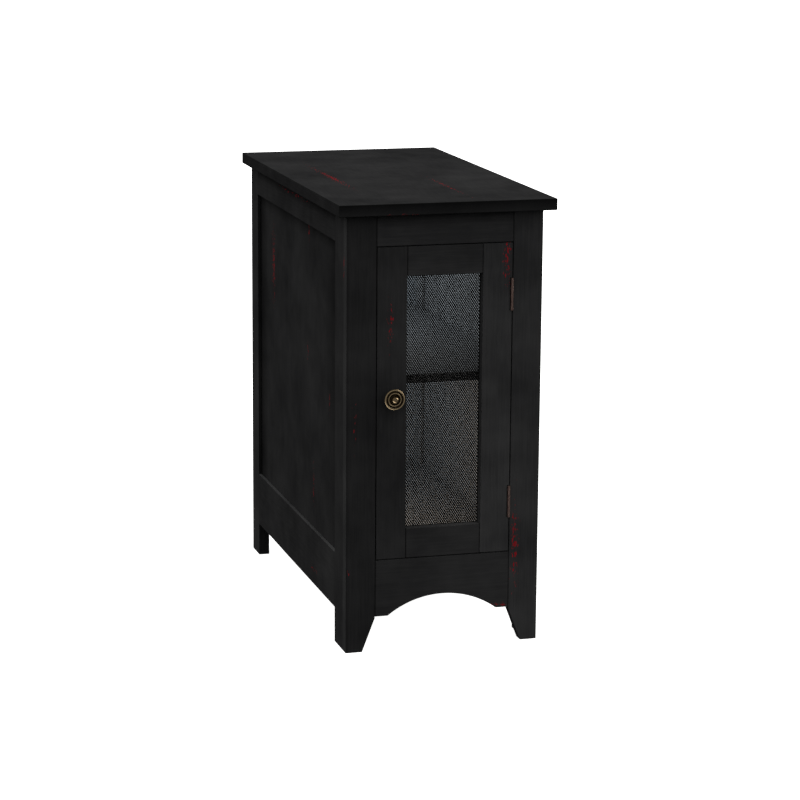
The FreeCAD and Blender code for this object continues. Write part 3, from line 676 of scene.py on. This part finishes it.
# How much of a tile its hole takes up, across and along the strands that fall to the right.
HOLE_ACROSS = 0.40
HOLE_ALONG = 0.76
TILE_CORNERS = ((1, 0), (0, 1), (-1, 0), (0, -1))


def even_count(length, step):
    """The even number of steps that fits a length best."""
    return 2 * round(length / step / 2)


def hole_corners(middle, half_width, half_height):
    """The right, top, left and bottom corner of a hole, which leans along the stronger strands."""
    far = (HOLE_ALONG + HOLE_ACROSS) / 2
    lean = (HOLE_ALONG - HOLE_ACROSS) / 2
    offsets = ((far, -lean), (-lean, far), (-far, lean), (lean, -far))
    return [(middle[0] + across * half_width, middle[1] + up * half_height) for across, up in offsets]


def tile_faces(corners, hole):
    """The four faces of one tile, between its corners and the corners of its hole."""
    next_corners = corners[1:] + corners[:1]
    next_hole = hole[1:] + hole[:1]
    return list(zip(corners, next_corners, next_hole, hole))


def edge_faces(corner, columns, rows):
    """The plain half tiles round the edge of the sheet."""
    faces = []
    for row in range(1, rows, 2):
        faces.append((corner[0, row - 1], corner[1, row], corner[0, row + 1]))
        faces.append((corner[columns, row + 1], corner[columns - 1, row], corner[columns, row - 1]))
    for column in range(1, columns, 2):
        faces.append((corner[column + 1, 0], corner[column, 1], corner[column - 1, 0]))
        faces.append((corner[column - 1, rows], corner[column, rows - 1], corner[column + 1, rows]))
    return faces


def tiled_side(low, high):
    """Points and faces of one side of the sheet, the corners of each hole and the corners of the grid."""
    columns = even_count(high.x - low.x, DIAMOND_WIDTH / 2)
    rows = even_count(high.z - low.z, DIAMOND_ROW)
    half_width = (high.x - low.x) / columns
    half_height = (high.z - low.z) / rows
    points = []
    corner = {}
    for column in range(columns + 1):
        for row in range(column % 2, rows + 1, 2):
            corner[column, row] = len(points)
            points.append((low.x + column * half_width, low.z + row * half_height))
    faces = edge_faces(corner, columns, rows)
    holes = []
    for column in range(1, columns):
        for row in range(1 + column % 2, rows, 2):
            middle = (low.x + column * half_width, low.z + row * half_height)
            hole = list(range(len(points), len(points) + len(TILE_CORNERS)))
            points += hole_corners(middle, half_width, half_height)
            faces += tile_faces([corner[column + across, row + up] for across, up in TILE_CORNERS], hole)
            holes.append(hole)
    return points, faces, holes, corner


print("diamonds", round(DIAMOND_WIDTH / MM, 2), "mm wide and", round(2 * DIAMOND_ROW / MM, 2), "mm high")

# %% Mesh sheet
def rim_loop(corner):
    """The corners round the edge of the sheet, in order."""
    columns, rows = max(corner)
    bottom = [corner[column, 0] for column in range(0, columns, 2)]
    right = [corner[columns, row] for row in range(0, rows, 2)]
    top = [corner[column, rows] for column in range(columns, 0, -2)]
    left = [corner[0, row] for row in range(rows, 0, -2)]
    return bottom + right + top + left


def pairs(loop):
    """Each corner of a loop with the next one."""
    return zip(loop, loop[1:] + loop[:1])


def sheet_solid(low, high):
    """Points and faces of the sheet, whose two sides are joined round its edge and through every hole."""
    points, faces, holes, corner = tiled_side(low, high)
    count = len(points)
    solid_points = [(x, low.y, z) for x, z in points] + [(x, high.y, z) for x, z in points]
    solid_faces = faces + [tuple(index + count for index in reversed(face)) for face in faces]
    for loop in holes:
        solid_faces += [(here, there, there + count, here + count) for here, there in pairs(loop)]
    rim = rim_loop(corner)
    solid_faces += [(there, here, here + count, there + count) for here, there in pairs(rim)]
    print(len(holes), "holes,", sum(len(face) - 2 for face in solid_faces), "triangles")
    return solid_points, solid_faces


def make_sheet():
    """The sheet on the door, in the place of the drawn one."""
    points, faces = sheet_solid(*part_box("door_mesh"))
    mesh = bpy.data.meshes.new("mesh_sheet")
    mesh.from_pydata(points, [], faces)
    mesh.update()
    sheet = link(bpy.data.objects.new("mesh_sheet", mesh))
    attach(sheet, "door")
    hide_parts("door_mesh")
    return sheet


mesh_sheet = make_sheet()

# %% Enamel of the sheet
SHEET_DARK = (0.0045, 0.0045, 0.0046)
SHEET_LIGHT = (0.0085, 0.0085, 0.0086)
SHEET_MOTTLE = 240
SHEET_RANGE = (0.35, 0.7)
SHEET_ROUGHNESS = (0.52, 0.66)
SHEET_SPECULAR = 0.0


def sheet_paint():
    """Dull black enamel on steel, with a faint mottle."""
    material = new_material("black_enamel", SHEET_SPECULAR)
    mottle = noise(material, object_place(material), SHEET_MOTTLE, detail=4)
    join(material, Base_Color=ramp(material, mottle, *SHEET_RANGE, SHEET_DARK, SHEET_LIGHT),
         Roughness=span(material, mottle, *NOISE_RANGE, *SHEET_ROUGHNESS))
    return material


mesh_sheet.data.materials.append(sheet_paint())
print("enamel from", SHEET_DARK, "to", SHEET_LIGHT)

# %% [markdown]
# ## Reflections
#
# Polished metal shows what stands round it, and under an even white sky it would look pale and flat.
# Photographers hang grey cloth round a shiny object and leave bright openings in it. Here the cloth is a
# large sphere with two bright windows, one at the upper right and one low down at the left. It is seen in
# reflections only, so the light on the boards stays as it is.

# %% Tent for the reflections
TENT_RADIUS = 6
TENT_GREY = 0.19
BLACK = (0, 0, 0, 1)
WHITE = (1, 1, 1, 1)
# The direction of a window, the cosines of the angles to its edge and to its full strength, and the strength.
TENT_WINDOWS = [((0.77, 0.27, 0.58), 0.80, 0.90, 6.0), ((-0.30, 0.42, -0.86), 0.50, 0.80, 3.0)]


def tent_cloth():
    """Grey cloth that glows faintly, and brightly at each window."""
    material = new_material("tent_cloth", specular=0)
    where = object_place(material)
    direction = add(material, "VectorMath", {0: where}, operation="NORMALIZE").outputs["Vector"]
    glow = TENT_GREY
    for window, edge, full, strength in TENT_WINDOWS:
        facing = add(material, "VectorMath", {0: direction, 1: window}, operation="DOT_PRODUCT")
        opening = span(material, facing.outputs["Value"], edge, full, 0, strength)
        glow = math_node(material, "MAXIMUM", glow, opening)
    shader = material.node_tree.nodes["Principled BSDF"]
    shader.inputs["Base Color"].default_value = BLACK
    shader.inputs["Emission Color"].default_value = WHITE
    join(material, Emission_Strength=glow)
    material.cycles.emission_sampling = "NONE"
    return material


def make_tent():
    """A tent round the table, which is seen in reflections and nowhere else."""
    bpy.ops.mesh.primitive_uv_sphere_add(radius=TENT_RADIUS)
    tent = bpy.context.object
    tent.name = "tent"
    tent.visible_camera = False
    tent.visible_diffuse = False
    tent.visible_shadow = False
    tent.data.materials.append(tent_cloth())


make_tent()
print(len(TENT_WINDOWS), "windows in the tent")

# %% [markdown]
# ## Brass knob
#
# The knob is turned brass in an antique finish: a foot, a waisted neck, a dish with a beaded rim, a ring and
# a dome in the middle. It could be cut from a cylinder, but a turned piece is a profile that goes round an
# axis, so the profile is written from arcs and a Screw modifier takes it round, as a lathe does.

# %% Knob profile
# Lengths are in millimetres and angles in degrees. A bead has the place of its middle and its own radius.
KNOB_FOOT = (8.0, 1.6)
KNOB_EASE = 0.5
KNOB_COVE = 2.0
KNOB_NECK = 5.5
KNOB_FLARE = (7.2, 14.3)
KNOB_RIM = {"radius": 13.0, "height": 15.7, "bead": 1.3, "steps": 18}
KNOB_RING = {"radius": 8.6, "height": 15.6, "bead": 1.0, "steps": 12}
KNOB_DOME = {"radius": 0.0, "height": 17.2, "bead": 4.8, "steps": 14}
KNOB_DISH = 15.2
KNOB_GROOVE = 15.0
RIM_START, RIM_STOP = -80, 195
EASE_STEPS = 4
COVE_STEPS = 8
FLARE_STEPS = 10


def arc(centre, size, start, stop, steps):
    """Points on an arc of an ellipse, from one angle to another."""
    angles = [math.radians(start + (stop - start) * step / steps) for step in range(steps + 1)]
    return [(centre[0] + size[0] * math.cos(angle), centre[1] + size[1] * math.sin(angle))
            for angle in angles]


def bead_arc(bead, start, stop):
    """Points on the round of a bead."""
    return arc((bead["radius"], bead["height"]), (bead["bead"], bead["bead"]), start, stop, bead["steps"])


def meeting_angle(bead, level):
    """The angle below the middle of a bead at which it meets a flat floor."""
    return math.degrees(math.asin((level - bead["height"]) / bead["bead"]))


def knob_profile():
    """The knob's outline in millimetres, as (radius, distance from the door), from its foot to its dome."""
    foot, foot_top = KNOB_FOOT
    eased = arc((foot - KNOB_EASE, foot_top - KNOB_EASE), (KNOB_EASE, KNOB_EASE), 0, 90, EASE_STEPS)
    cove_middle = (KNOB_NECK + KNOB_COVE, foot_top + KNOB_COVE)
    cove = arc(cove_middle, (KNOB_COVE, KNOB_COVE), 270, 180, COVE_STEPS)
    low, high = KNOB_FLARE
    flare_edge = KNOB_RIM["radius"] - KNOB_EASE
    flare = arc((flare_edge, low), (flare_edge - KNOB_NECK, high - low), 180, 90, FLARE_STEPS)
    ring_side = meeting_angle(KNOB_RING, KNOB_DISH)
    return ([(0, 0), (foot, 0)] + eased + cove + flare + bead_arc(KNOB_RIM, RIM_START, RIM_STOP)
            + bead_arc(KNOB_RING, ring_side, 180 - ring_side)
            + bead_arc(KNOB_DOME, meeting_angle(KNOB_DOME, KNOB_GROOVE), 90))


print(len(knob_profile()), "points in the profile of the knob")

# %% Knob
KNOB_STEPS = 64


def make_knob():
    """The turned knob, on the front of the door where the drawn one is."""
    low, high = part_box("knob")
    points = [(radius * MM, 0, distance * MM) for radius, distance in knob_profile()]
    mesh = bpy.data.meshes.new("turned_knob")
    mesh.from_pydata(points, [(index, index + 1) for index in range(len(points) - 1)], [])
    knob = link(bpy.data.objects.new("turned_knob", mesh))
    knob.location = ((low.x + high.x) / 2, high.y, (low.z + high.z) / 2)
    knob.rotation_euler = (math.pi / 2, 0, 0)
    lathe = knob.modifiers.new("lathe", "SCREW")
    lathe.axis = "Z"
    lathe.steps = KNOB_STEPS
    lathe.render_steps = KNOB_STEPS
    lathe.use_merge_vertices = True
    lathe.merge_threshold = WELD_REACH
    lathe.use_normal_calculate = True
    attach(knob, "door")
    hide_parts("knob")
    return knob


turned_knob = make_knob()
print("knob at", [round(value, 4) for value in turned_knob.location])

# %% [markdown]
# ## Antique brass
#
# The brass has gone brown, is rubbed bright on what stands out and has turned black in the grooves. The knob
# could have a material for each ring, but the rings run into each other, so a ramp of colours goes from the
# axis to the rim. Noise adds the tarnish.

# %% Antique brass
BRASS_BRIGHT = (0.70, 0.535, 0.32)
BRASS_BROWN = (0.34, 0.245, 0.14)
BRASS_RECESS = (0.02, 0.013, 0.008)
# The share of the way from the axis to the rim, and the colour there.
BRASS_BANDS = [(0.0, BRASS_BROWN), (0.28, BRASS_BROWN), (0.36, BRASS_RECESS), (0.52, BRASS_RECESS),
               (0.60, BRASS_BRIGHT), (0.68, BRASS_RECESS), (0.82, BRASS_RECESS), (0.91, BRASS_BRIGHT),
               (1.0, BRASS_BROWN)]
BRASS_ROUGHNESS = (0.14, 0.30)
TARNISH_SCALE = 700
TARNISH_RANGE = (0.45, 0.75)
TARNISH_SHARE = 0.6
METAL_SPECULAR = 0.5


def ringed_brass(material, where):
    """The colour of the brass by the distance from the axis of the knob."""
    flat = add(material, "VectorMath", {0: where, 1: (1, 1, 0)}, operation="MULTIPLY").outputs["Vector"]
    radius = add(material, "VectorMath", {0: flat}, operation="LENGTH").outputs["Value"]
    share = math_node(material, "DIVIDE", radius, (KNOB_RIM["radius"] + KNOB_RIM["bead"]) * MM)
    node = add(material, "ValToRGB", {"Fac": share})
    stops = node.color_ramp.elements
    for place, _ in BRASS_BANDS[1:-1]:
        stops.new(place)
    for stop, (place, colour) in zip(stops, BRASS_BANDS):
        stop.position = place
        stop.color = (*colour, 1)
    return node.outputs["Color"]


def antique_brass():
    """Ringed brass with tarnish in it."""
    material = new_material("antique_brass", METAL_SPECULAR, metallic=1.0)
    where = object_place(material)
    tarnish = noise(material, where, TARNISH_SCALE)
    dull = ramp(material, tarnish, *NOISE_RANGE, BRASS_RECESS, BRASS_BROWN)
    share = span(material, tarnish, *TARNISH_RANGE, 0, TARNISH_SHARE)
    join(material, Base_Color=mix_colour(material, share, ringed_brass(material, where), dull),
         Roughness=span(material, tarnish, *NOISE_RANGE, *BRASS_ROUGHNESS))
    return material


turned_knob.data.materials.append(antique_brass())
print(len(BRASS_BANDS), "colours from the axis to the rim")

# %% [markdown]
# ## Hinges
#
# The hinges are copper-brown steel, worn lighter where hands have rubbed them. Their leaves, pins and screws
# are right as they are drawn, so they only need a finish. One flat brown would look like plastic, so noise
# makes patches of two browns, and finer noise makes shallow pits.

# %% Hinges
COPPER_DARK = (0.108, 0.069, 0.058)
COPPER_LIGHT = (0.306, 0.209, 0.183)
COPPER_PATCHES = 700
COPPER_RANGE = (0.35, 0.68)
COPPER_ROUGHNESS = (0.55, 0.34)
PIT_SCALE = 2600
PIT_DEPTH = 0.00002
HINGE_LEVELS = ("lower", "upper")
HINGE_PARTS = ("frame_leaf", "door_leaf", "pin")


def hinge_copper():
    """Copper-brown plating with darker patches and fine pits."""
    material = new_material("hinge_copper", METAL_SPECULAR, metallic=1.0)
    where = object_place(material)
    patches = noise(material, where, COPPER_PATCHES)
    pits = noise(material, where, PIT_SCALE, detail=3)
    join(material, Base_Color=ramp(material, patches, *COPPER_RANGE, COPPER_DARK, COPPER_LIGHT),
         Roughness=span(material, patches, *NOISE_RANGE, *COPPER_ROUGHNESS),
         Normal=bump(material, pits, PIT_DEPTH))
    return material


hinge_pieces = [f"hinge_{part}_{level}" for part in HINGE_PARTS for level in HINGE_LEVELS]
dress(hinge_copper(), *hinge_pieces, "frame_leaf_screws", "door_leaf_screws")
print(len(hinge_pieces), "hinge pieces")

# %% [markdown]
# ## Small fittings
#
# The other screws, the strike plate and the shelf pins are zinc plated, the catch is a black plastic box
# with a grey magnet in it, and the dowels are bare beech. They are right as they are drawn, too. Plated steel
# shows the crystals of the zinc, so its greys come from a Voronoi texture, which is made of cells. The others
# come from noise, as fine as the grain of the plastic, the pits of the magnet or the flecks of the beech.

# %% Zinc plate
ZINC_DARK = (0.32, 0.32, 0.33)
ZINC_LIGHT = (0.55, 0.55, 0.54)
ZINC_CRYSTALS = 1800
ZINC_RANGE = (0.1, 0.8)
ZINC_CLOUDS = 300
ZINC_ROUGHNESS = (0.28, 0.45)
ZINC_PIECES = ("strike_plate", "strike_screws", "shelf_pins", "catch_screws", "cleat_screws", "knob_screw")


def zinc_plate():
    """Zinc on steel, whose crystals are cells that are lighter in the middle."""
    material = new_material("zinc_plate", METAL_SPECULAR, metallic=1.0)
    where = object_place(material)
    cells = add(material, "TexVoronoi", {"Vector": where, "Scale": ZINC_CRYSTALS}).outputs["Distance"]
    clouds = noise(material, where, ZINC_CLOUDS, detail=4)
    join(material, Base_Color=ramp(material, cells, *ZINC_RANGE, ZINC_LIGHT, ZINC_DARK),
         Roughness=span(material, clouds, *NOISE_RANGE, *ZINC_ROUGHNESS))
    return material


dress(zinc_plate(), *ZINC_PIECES)
print(len(ZINC_PIECES), "zinc-plated pieces")

# %% Catch
CATCH_SPECULAR = 0.4
CATCH_DEPTH = 0.00005
PLASTIC_DARK = (0.018, 0.018, 0.018)
PLASTIC_LIGHT = (0.034, 0.033, 0.033)
PLASTIC_GRAIN = 3200
PLASTIC_ROUGHNESS = (0.45, 0.6)
MAGNET_DARK = (0.045, 0.045, 0.048)
MAGNET_LIGHT = (0.12, 0.12, 0.125)
MAGNET_PITS = 2200
MAGNET_RANGE = (0.3, 0.65)
MAGNET_ROUGHNESS = (0.65, 0.42)
MAGNET_METALLIC = 0.35


def moulded_plastic():
    """Black plastic with the fine grain of a spark-eroded mould."""
    material = new_material("moulded_plastic", CATCH_SPECULAR)
    grain = noise(material, object_place(material), PLASTIC_GRAIN, detail=2)
    join(material, Base_Color=ramp(material, grain, *NOISE_RANGE, PLASTIC_DARK, PLASTIC_LIGHT),
         Roughness=span(material, grain, *NOISE_RANGE, *PLASTIC_ROUGHNESS),
         Normal=bump(material, grain, CATCH_DEPTH))
    return material


def magnet_grey():
    """A ground ceramic magnet, dark grey with pits."""
    material = new_material("magnet_grey", CATCH_SPECULAR, metallic=MAGNET_METALLIC)
    pits = noise(material, object_place(material), MAGNET_PITS, detail=4)
    join(material, Base_Color=ramp(material, pits, *MAGNET_RANGE, MAGNET_DARK, MAGNET_LIGHT),
         Roughness=span(material, pits, *NOISE_RANGE, *MAGNET_ROUGHNESS),
         Normal=bump(material, pits, CATCH_DEPTH))
    return material


dress(moulded_plastic(), "catch_body")
dress(magnet_grey(), "catch_magnet")
print("catch dressed")

# %% Dowels
BEECH_PALE = (0.60, 0.42, 0.26)
BEECH_FLECK = (0.42, 0.27, 0.15)
BEECH_SCALE = 900
BEECH_STRETCH = 0.12
BEECH_RANGE = (0.35, 0.7)
BEECH_ROUGHNESS = (0.5, 0.68)
BEECH_SPECULAR = 0.3


def beech(axis):
    """Bare beech with its short flecks along an axis."""
    material = new_material(f"beech_{axis}", BEECH_SPECULAR)
    flecks = noise(material, object_place(material), BEECH_SCALE, stretch=along(axis, BEECH_STRETCH))
    join(material, Base_Color=ramp(material, flecks, *BEECH_RANGE, BEECH_PALE, BEECH_FLECK),
         Roughness=span(material, flecks, *NOISE_RANGE, *BEECH_ROUGHNESS))
    return material


dress(beech("x"), "door_dowels", "frame_dowels")
print("dowels dressed")
